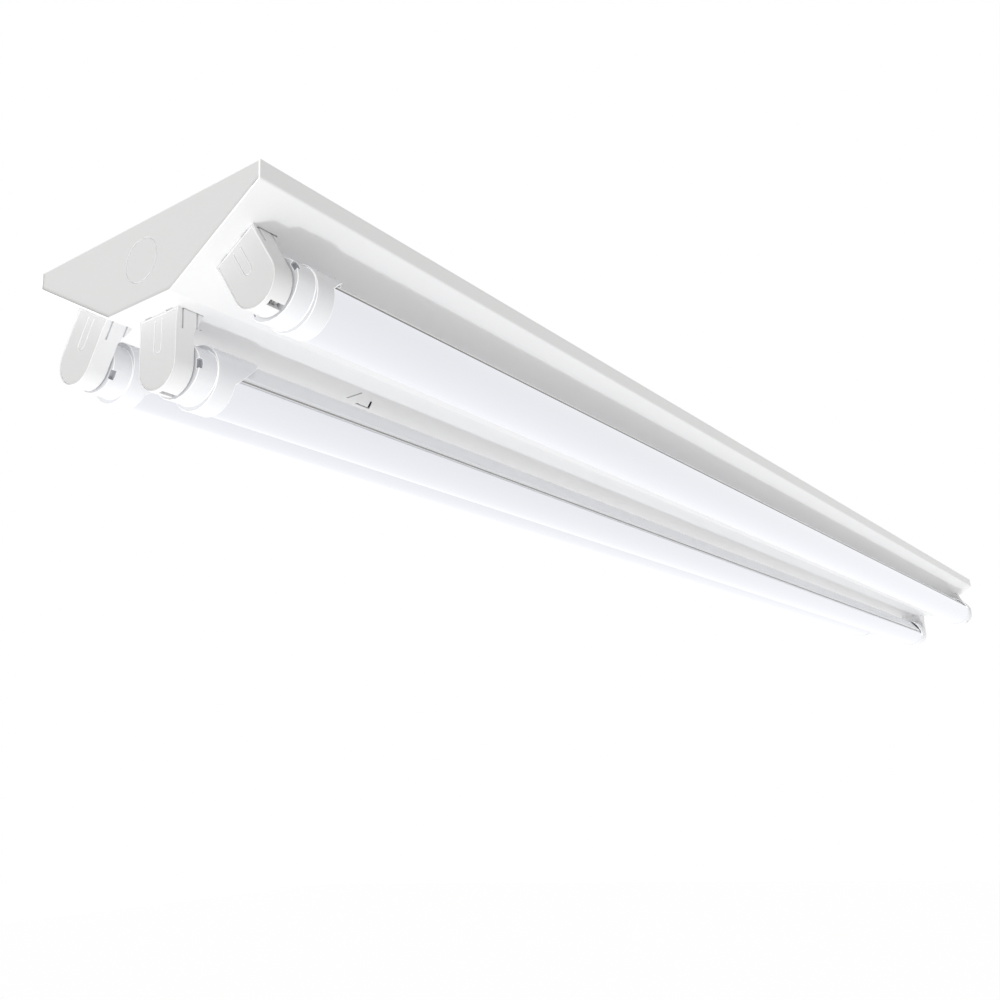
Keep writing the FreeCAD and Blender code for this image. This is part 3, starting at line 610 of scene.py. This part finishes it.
@dataclass
class TubeLamp:
    """One LED tube lamp: opal cover, aluminium spine, two caps and their pins.

    Attributes:
        side: Which of the three lamps it is.
        paints: The finishes.
        nodes: The CAD nodes by name.
        standoff: From the facet to the lamp's axis.
        face: From the lamp's middle to each cap's face.
        cap_length: Length of a cap.
        overlap: How far the cover and the spine reach into a cap.
        radius: Outer radius of the cover.
        wall: Thickness of the cover.
        cover_edge: How far the cover's edges lie from the axis, on the side away from the body.
        hook: How far the hook along each edge reaches in.
        hook_depth: Thickness of that hook.
        cover_points: Points on each arc of the cover.
        cover_crisp: Edges of the cover over this angle stay crisp, in degrees.
        cap_ease: Width of the caps' eased edges.
        pin_ease: Width of the pins' eased edges.
        spine_ease: Width of the spine's eased edges.
        packages: Number of light sources.
        package: Size of a light source.
        package_margin: From the board's end to the first light source.
        package_level: Level of the light sources' middles.
        board_gap: From the cover's end to the board's end.
        ridge_levels: Levels of the two ridges on each flank of the spine.
        ridge_half: Half the width of a ridge.
        ridge_height: Height of a ridge.
        crest_half: How far from a ridge's level a corner may lie and still be its crest.
        flank_from: How far from the middle plane the flanks begin.
        flank_low: Level of the flanks' lower edge.
        seal_from: How far from the middle plane the painted joint shade begins.
        seal_levels: Levels between which the painted joint shade shows.
        level_fit: How closely a cut follows its level.
        window_ends: Distances from the lamp's middle between which a cap's side window lies.
        window_floor: From the lamp's middle plane to just inside that window's floor.
        window_half: Just over half that window's height.
        made: Names of the pieces so far.
    """

    side: Side
    paints: Paints
    nodes: dict[str, bpy.types.Object]
    standoff: float = 24.0
    face: float = 599.5
    cap_length: float = 20.5
    overlap: float = 8.5
    radius: float = 14.25
    wall: float = 1.1
    cover_edge: float = 2.3
    hook: float = 1.3
    hook_depth: float = 1.0
    cover_points: int = 57
    cover_crisp: float = 30.0
    cap_ease: float = 0.3
    pin_ease: float = 0.5
    spine_ease: float = 0.18
    packages: int = 40
    package: tuple[float, float, float] = (3.1, 2.9, 0.95)
    package_margin: float = 14.0
    package_level: float = -3.65
    board_gap: float = 6.0
    ridge_levels: tuple[float, float] = (-0.3, 1.6)
    ridge_half: float = 0.6
    ridge_height: float = 0.45
    crest_half: float = 0.2
    flank_from: float = 13.4
    flank_low: float = -1.7
    seal_from: float = 13.3
    seal_levels: tuple[float, float] = (-0.95, -0.25)
    level_fit: float = 0.0001
    window_ends: tuple[float, float] = (597.6, 599.45)
    window_floor: float = 13.0
    window_half: float = 2.3
    made: list[str] = field(default_factory=list)

    @property
    def tube_end(self) -> float:
        """From the lamp's middle to each end of the cover and spine."""
        return self.face - self.cap_length + self.overlap

    def placement(self) -> Matrix:
        """The matrix that takes millimetres round the lamp's own axis to metres in the frame."""
        return BODY_SECTION.place(self.side) @ Matrix.Translation(Vector((0.0, 0.0, -self.standoff)))

    def node(self, part: str) -> str:
        """The name of one of the lamp's CAD nodes.

        Args:
            part: The part's word.

        Returns:
            The node's name.
        """
        return f"tube_{part}_{self.side.word}"

    def keep(self, piece: bpy.types.Object, slot: str, *nodes: str) -> None:
        """Lets a piece ride with the lamp, in place of CAD nodes if it stands for any.

        Args:
            piece: The piece.
            slot: The record's material slot; not used.
            *nodes: The CAD nodes it stands for.
        """
        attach(piece, "lamp_" + self.side.word)
        if nodes:
            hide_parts(*nodes)
        self.made.append(piece.name)

    def opal_cover(self) -> None:
        """Extrudes the opal cover, an arc of a little under half a turn with a hook along each edge."""
        inner = self.radius - self.wall
        floor = self.cover_edge + self.hook_depth
        half, inner_half = math.acos(self.cover_edge / self.radius), math.acos(floor / inner)
        wall_foot = math.sqrt(inner**2 - floor**2)
        corners = {"Edge": (self.radius * math.sin(half), -self.cover_edge, 0.0),
                   "Hook Top": (wall_foot - self.hook, -self.cover_edge, 0.0),
                   "Hook Foot": (wall_foot - self.hook, -floor, 0.0), "Wall Foot": (wall_foot, -floor, 0.0),
                   "Start": (0.0, 0.0, -self.tube_end), "End": (0.0, 0.0, self.tube_end)}
        values = {name: Vector(corner) * MM for name, corner in corners.items()}
        values.update({"Radius": self.radius * MM, "Half Angle": half, "Inner Radius": inner * MM,
                       "Inner Half Angle": inner_half, "Points": self.cover_points})
        # The cover's finish glows: painted light that evens its shading.
        tree = cover_tree(self.paints.get(OPAL_PAINTED_GLOW))
        piece = grown_piece("opal_cover_" + self.side.word, tree, values, self.seat_cover)
        smooth(piece.data, self.cover_crisp)
        self.keep(piece, "opal_diffuser", self.node("diffuser"))

    def seat_cover(self, bm: bmesh.types.BMesh) -> None:
        """Lays the cover round the lamp's axis and turns its faces outwards.

        Args:
            bm: The cover's mesh, extruded along Z.
        """
        bm.transform(self.placement() @ Matrix.Scale(1 / MM, 4) @ ACROSS_X)
        bmesh.ops.remove_doubles(bm, verts=bm.verts, dist=MERGE_GAP * MM)
        bmesh.ops.recalc_face_normals(bm, faces=bm.faces)

    def caps(self) -> None:
        """Dresses both caps, with their rims eased and given a painted highlight, and painted shade in their
        side windows.
        """
        name = self.node("caps")
        piece = eased_copy(self.nodes[name], "caps_" + self.side.word, self.cap_ease)
        # Eased rims get a painted highlight.
        self.paints.coat(piece, CAP_PLASTIC, PAINTED_EDGE_HIGHLIGHT)
        shade = self.paints.add(piece, RECESS_PAINTED_SHADE)
        to_lamp = self.placement().inverted()
        back, front = self.window_ends
        # Painted shade: the window's faces get the darker grey.
        for polygon in piece.data.polygons:
            x, y, z = (abs(v) for v in to_lamp @ polygon.center)
            if back < x < front and y > self.window_floor and z < self.window_half:
                polygon.material_index = shade
        self.keep(piece, "cap_plastic", name)

    def spine(self) -> None:
        """Dresses the aluminium spine, with its long corners eased and fine ridges along its flanks."""
        name = self.node("heat_sink")
        piece = eased_copy(self.nodes[name], "spine_" + self.side.word, self.spine_ease, self.ridge)
        self.paints.coat(piece, SPINE_METAL)
        # A grey band along each flank is painted shade for the joint with the cover.
        self.seal(piece)
        self.keep(piece, "sink_aluminium", name)

    def ridge(self, bm: bmesh.types.BMesh) -> None:
        """Sinks both flanks of the spine between their ridges.

        Args:
            bm: The spine's mesh, in the frame.
        """
        bm.transform(self.placement().inverted())
        for level in self.ridge_levels:
            for cut in (level - self.ridge_half, level, level + self.ridge_half):
                bmesh.ops.bisect_plane(bm, geom=bm.verts[:] + bm.edges[:] + bm.faces[:], plane_co=(0, 0, cut),
                                       plane_no=(0, 0, 1), dist=self.level_fit)
        for vert in bm.verts:
            on_crest = any(abs(vert.co.z - level) < self.crest_half for level in self.ridge_levels)
            if abs(vert.co.y) > self.flank_from and vert.co.z > self.flank_low and not on_crest:
                vert.co.y -= math.copysign(self.ridge_height, vert.co.y)
        bm.transform(self.placement())

    def seal(self, spine: bpy.types.Object) -> None:
        """Paints a grey band under the lower ridge of each flank: painted shade in the joint with the opal
        cover.

        Args:
            spine: The dressed spine.
        """
        grey = self.paints.add(spine, JOINT_PAINTED_SHADE)
        to_lamp = self.placement().inverted()
        low, high = self.seal_levels
        # Painted shade: flank faces between these levels turn grey.
        for polygon in spine.data.polygons:
            middle = to_lamp @ polygon.center
            if abs(middle.y) > self.seal_from and low < middle.z < high:
                polygon.material_index = grey

    def light_sources(self) -> None:
        """Sets the row of light sources along the board."""
        reach = self.tube_end - self.board_gap - self.package_margin
        values = {"Start": Vector((-reach, 0.0, self.package_level)) * MM,
                  "End": Vector((reach, 0.0, self.package_level)) * MM,
                  "Count": self.packages, "Size": Vector(self.package) * MM}
        tree = source_row_tree(self.paints.get(PHOSPHOR))
        piece = grown_piece("light_sources_" + self.side.word, tree, values, self.seat_row)
        self.keep(piece, "board_white")

    def seat_row(self, bm: bmesh.types.BMesh) -> None:
        """Lays the row of light sources along the lamp's axis.

        Args:
            bm: The row's mesh, along X.
        """
        bm.transform(self.placement() @ Matrix.Scale(1 / MM, 4))

    def pins(self) -> None:
        """Dresses the four contact pins, with their tips rounded."""
        name = self.node("pins")
        piece = eased_copy(self.nodes[name], "pins_" + self.side.word, self.pin_ease)
        self.paints.coat(piece, PIN_METAL)
        self.keep(piece, "pin_metal", name)

    def build(self) -> None:
        """Builds and dresses the whole lamp, and the rotors that its pins turn."""
        self.opal_cover()
        self.caps()
        self.spine()
        self.light_sources()
        self.pins()
        for part, finish in (("led_board", BOARD_MASK), ("driver", DRIVER_MASK)):
            self.paints.coat(self.nodes[self.node(part)], finish)
        for end in End:
            self.paints.coat(self.nodes[f"socket_rotor_{self.side.word}_{end.word}"], COVER_PLASTIC)
        LOG.info("lamp %s: %s", self.side.word, ", ".join(self.made))


@dataclass
class Lampholder:
    """One turn-to-lock lampholder on its facet.

    Attributes:
        side: The lamp it holds.
        end: The end it stands at.
        paints: The finishes.
        nodes: The CAD nodes by name.
        housing_ease: Width of the housing's eased edges.
        cover_ease: Width of the cover's eased edges.
        rim: From the body's middle to where the painted highlight on the outer face's eased edges starts.
    """

    side: Side
    end: End
    paints: Paints
    nodes: dict[str, bpy.types.Object]
    housing_ease: float = 0.2
    cover_ease: float = 0.1
    rim: float = 609.8

    def build(self) -> None:
        """Dresses the housing and cover as eased copies, and the contacts as they are."""
        tail = f"{self.side.word}_{self.end.word}"
        for part, finish, slot, ease in (("housing", HOLDER_PLASTIC, "holder_plastic", self.housing_ease),
                                         ("cover", COVER_PLASTIC, "cover_plastic", self.cover_ease)):
            name = f"socket_{part}_{tail}"
            piece = eased_copy(self.nodes[name], f"holder_{part}_{tail}", ease)
            self.paints.coat(piece, finish, PAINTED_EDGE_HIGHLIGHT)
            # Painted highlight: only the eased edges at the outer face keep it.
            for polygon in piece.data.polygons:
                if abs(polygon.center.x) < self.rim * MM:
                    polygon.material_index = MAIN_SLOT
            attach(piece, FIXTURE)
            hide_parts(name)
        self.paints.coat(self.nodes["socket_contacts_" + tail], SPRING_METAL)
        LOG.info("lampholder %s dressed", tail)


@dataclass
class Housing:
    """The sheet metal body with its ends, ceiling plate, brackets and electrical fittings.

    Attributes:
        paints: The finishes.
        nodes: The CAD nodes by name.
        ease: Width of the sheets' eased edges.
        relief: Where the near plate's corner relief starts and stops along the left facet.
        relief_top: How far that relief reaches in from the body's outer face.
        wall: How far the plate's edge stands in from the body's outer face.
        plate_back: Station just inside the near plate.
        sheet_end: From the body's middle to just inside the cut ends of its sheet.
    """

    paints: Paints
    nodes: dict[str, bpy.types.Object]
    ease: float = 0.12
    relief: tuple[float, float] = (25.9, 31.2)
    relief_top: float = 2.5
    wall: float = 0.92
    plate_back: float = -619.3
    sheet_end: float = 620.8

    def sheet(self, name: str, finish: Finish,
              change: Callable[[bmesh.types.BMesh], None] | None = None) -> bpy.types.Object:
        """Dresses one white sheet.

        Args:
            name: The CAD node.
            finish: Its finish.
            change: Reshapes it once its edges are eased.

        Returns:
            The piece.
        """
        piece = eased_copy(self.nodes[name], name + "_coated", self.ease, change)
        # Eased edges get a painted highlight.
        self.paints.coat(piece, finish, PAINTED_EDGE_HIGHLIGHT)
        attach(piece, FIXTURE)
        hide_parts(name)
        LOG.info("%s coated", name)
        return piece

    def sheet_metal(self) -> None:
        """Dresses the reflector body, with a painted highlight on its cut ends, and the two end plates."""
        body = self.sheet("reflector_body", POWDER_COAT)
        # The cut ends keep the painted highlight, and the body's other eased edges lose it.
        for polygon in body.data.polygons:
            at_end = abs(polygon.center.x) > self.sheet_end * MM
            polygon.material_index = EDGE_SLOT if at_end else MAIN_SLOT
        self.sheet("end_plate_near", END_COAT, self.fill_relief)
        self.sheet("end_plate_far", END_COAT)

    def fill_relief(self, bm: bmesh.types.BMesh) -> None:
        """Fills the corner relief on the near plate's left side, where the photograph shows none.

        Args:
            bm: The plate's mesh, in the frame.
        """
        place = BODY_SECTION.place(Side.LEFT)
        start, stop = self.relief
        bm.transform(place.inverted())
        for vert in bm.verts:
            in_relief = start < vert.co.y < stop and self.wall < vert.co.z < self.relief_top
            if in_relief and vert.co.x < self.plate_back:
                vert.co.z = self.wall
        bm.transform(place)

    def fittings(self) -> None:
        """Gives each fitting inside and behind its finish."""
        table = (("chassis_plate", GALVANISED), ("bracket_near", GALVANISED), ("bracket_far", GALVANISED),
                 ("earth_screw", ZINC_METAL), ("terminal_block", POLYAMIDE), ("cable_bush", RUBBER),
                 ("wiring_loom", SHEATH))
        for name, finish in table:
            self.paints.coat(self.nodes[name], finish)
            LOG.info("%s dressed", name)

    def build(self) -> None:
        """Dresses the whole body."""
        self.sheet_metal()
        self.fittings()


@dataclass
class Studio:
    """The camera at the photograph's view, its lights and its pale floor.

    Attributes:
        place: The camera's place, in metres.
        azimuth: Direction of its view round Z, in degrees.
        elevation: How far it looks up, in degrees.
        roll: Its roll, in degrees.
        focal: Focal length in pixels.
        picture: Width of the picture in pixels.
        sensor: Width of the sensor.
        clip: Nearest and farthest distance that it sees, in metres.
        key_from: Direction from the object to the key light.
        keys: Strength and apparent width in degrees of the key light's sharp and soft parts.
        key_tone: Colour of the key light.
        fill: Strength of the surroundings' light on the object.
        warm: Colour of the light from the surroundings and the floor.
        white: Colour of what the camera sees behind the object.
        floor_size: Width of the floor, in metres.
        floor_level: Height of the floor, in metres.
        paper: Colour of the floor.
        floor_glow: Strength of the light that the floor throws on the object.
        floor_lean: Share by which that light is weaker on the right and stronger on the left.
        floor_reach: How far from the middle it is weakest and strongest, in metres.
        floor_seen: Strength of the floor in the camera's eye, a little over white.
        floor_shares: Share of the floor that glows, for its light and for the camera.
    """

    place: tuple[float, float, float] = (-0.8845, -0.3637, -0.2563)
    azimuth: float = 34.38
    elevation: float = 15.84
    roll: float = -2.99
    focal: float = 1080.7
    picture: float = 1000.0
    sensor: float = 36.0
    clip: tuple[float, float] = (0.02, 50.0)
    key_from: tuple[float, float, float] = (-0.3, -0.29, -0.95)
    keys: tuple[tuple[float, float], ...] = ((0.68, 3.0), (0.23, 16.0))
    key_tone: str = "fafdff"
    fill: float = 0.54
    warm: str = "fffefc"
    white: str = "ffffff"
    floor_size: float = 30.0
    floor_level: float = -1.5
    paper: str = "f4f4f4"
    floor_glow: float = 1.5
    floor_lean: float = 0.36
    floor_reach: float = 1.5
    floor_seen: float = 1.02
    floor_shares: tuple[float, float] = (0.5, 0.95)

    def camera(self) -> None:
        """Sets the camera where the photograph was taken from."""
        az, el, roll = (math.radians(a) for a in (self.azimuth, self.elevation, self.roll))
        ahead = Vector((math.cos(el) * math.cos(az), math.cos(el) * math.sin(az), math.sin(el)))
        right = ahead.cross(Vector((0, 0, 1))).normalized()
        up = right.cross(ahead)
        across = right * math.cos(roll) + up * math.sin(roll)
        above = up * math.cos(roll) - right * math.sin(roll)
        turn = Matrix((across, above, -ahead)).transposed().to_4x4()
        data = bpy.data.cameras.new("view")
        data.sensor_width = self.sensor
        data.lens = self.focal * self.sensor / self.picture
        data.clip_start, data.clip_end = self.clip
        camera = bpy.data.objects.new("view", data)
        camera.matrix_world = Matrix.Translation(Vector(self.place)) @ turn
        bpy.context.scene.collection.objects.link(camera)
        bpy.context.scene.camera = camera

    def lights(self) -> None:
        """Sets the key light, low and to one side, and the white surroundings."""
        for strength, spread in self.keys:
            data = bpy.data.lights.new("key", "SUN")
            data.energy = strength
            data.angle = math.radians(spread)
            data.color = linear(self.key_tone)[:3]
            key = bpy.data.objects.new("key", data)
            key.rotation_mode = "QUATERNION"
            key.rotation_quaternion = Vector(self.key_from).to_track_quat("Z", "Y")
            bpy.context.scene.collection.objects.link(key)
        world = bpy.data.worlds.new("surroundings")
        bpy.context.scene.world = world
        world.use_nodes = True
        tree = world.node_tree
        tree.nodes.clear()
        shown = self.seen(tree)
        fill = add_node(tree, "ShaderNodeBackground", {"Color": linear(self.warm), "Strength": self.fill})
        white = add_node(tree, "ShaderNodeBackground", {"Color": linear(self.white), "Strength": 1.0})
        mixed = add_node(tree, "ShaderNodeMixShader", {0: shown, 1: fill.outputs[0], 2: white.outputs[0]})
        add_node(tree, "ShaderNodeOutputWorld", {"Surface": mixed.outputs[0]})

    def seen(self, tree: Any) -> Any:
        """Tells the rays that see the background from those that only carry its light.

        Args:
            tree: The node tree.

        Returns:
            A socket that is 1 for camera, glossy and transmission rays.
        """
        rays = add_node(tree, "ShaderNodeLightPath").outputs
        found = rays["Is Camera Ray"]
        for other in ("Is Glossy Ray", "Is Transmission Ray"):
            pair = {0: found, 1: rays[other]}
            found = add_node(tree, "ShaderNodeMath", pair, operation="MAXIMUM").outputs[0]
        return found

    def floor_strength(self, tree: Any, seen: Any) -> Any:
        """The floor's glow, which leans to the left for its light and is even for the camera.

        Args:
            tree: The floor's node tree.
            seen: The socket that is 1 for rays that see the floor.

        Returns:
            The strength's socket.
        """
        coordinates = add_node(tree, "ShaderNodeTexCoord").outputs["Object"]
        across = add_node(tree, "ShaderNodeSeparateXYZ", {0: coordinates}).outputs["Y"]
        low, high = (self.floor_glow * (1 + sign * self.floor_lean) for sign in (-1, 1))
        lean = {"Value": across, "From Min": -self.floor_reach, "From Max": self.floor_reach,
                "To Min": low, "To Max": high}
        cast = add_node(tree, "ShaderNodeMapRange", lean).outputs[0]
        span = {"Value": seen, "To Min": cast, "To Max": self.floor_seen}
        return add_node(tree, "ShaderNodeMapRange", span).outputs[0]

    def floor(self) -> None:
        """Lays the pale floor, which takes the object's shadow."""
        bpy.ops.mesh.primitive_plane_add(size=self.floor_size, location=(0, 0, self.floor_level))
        floor = bpy.context.object
        floor.name = "floor"
        floor.visible_shadow = False
        material = bpy.data.materials.new("floor_paper")
        material.use_nodes = True
        tree = material.node_tree
        tree.nodes.clear()
        paper = add_node(tree, "ShaderNodeBsdfDiffuse", {"Color": linear(self.paper)})
        seen = self.seen(tree)
        strength = self.floor_strength(tree, seen)
        unseen, shown = self.floor_shares
        share = add_node(tree, "ShaderNodeMapRange", {"Value": seen, "To Min": unseen, "To Max": shown})
        tones = {0: seen, 6: linear(self.warm), 7: linear(self.white)}
        tone = add_node(tree, "ShaderNodeMix", tones, data_type="RGBA").outputs[2]
        glow = add_node(tree, "ShaderNodeEmission", {"Color": tone, "Strength": strength})
        layers = {0: share.outputs[0], 1: paper.outputs[0], 2: glow.outputs[0]}
        mixed = add_node(tree, "ShaderNodeMixShader", layers)
        add_node(tree, "ShaderNodeOutputMaterial", {"Surface": mixed.outputs[0]})
        floor.data.materials.append(material)

    def build(self) -> None:
        """Sets up the whole studio."""
        self.camera()
        self.lights()
        self.floor()
        bpy.context.scene.view_settings.view_transform = "Standard"


def main() -> None:
    """Loads the frame and dresses every sub-assembly."""
    logging.basicConfig(level=logging.INFO, format="%(name)s: %(message)s")
    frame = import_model()
    Studio().build()
    paints = Paints()
    Housing(paints, frame["nodes"]).build()
    for side in Side:
        for end in End:
            Lampholder(side, end, paints, frame["nodes"]).build()
        TubeLamp(side, paints, frame["nodes"]).build()


if __name__ == "__main__":
    main()
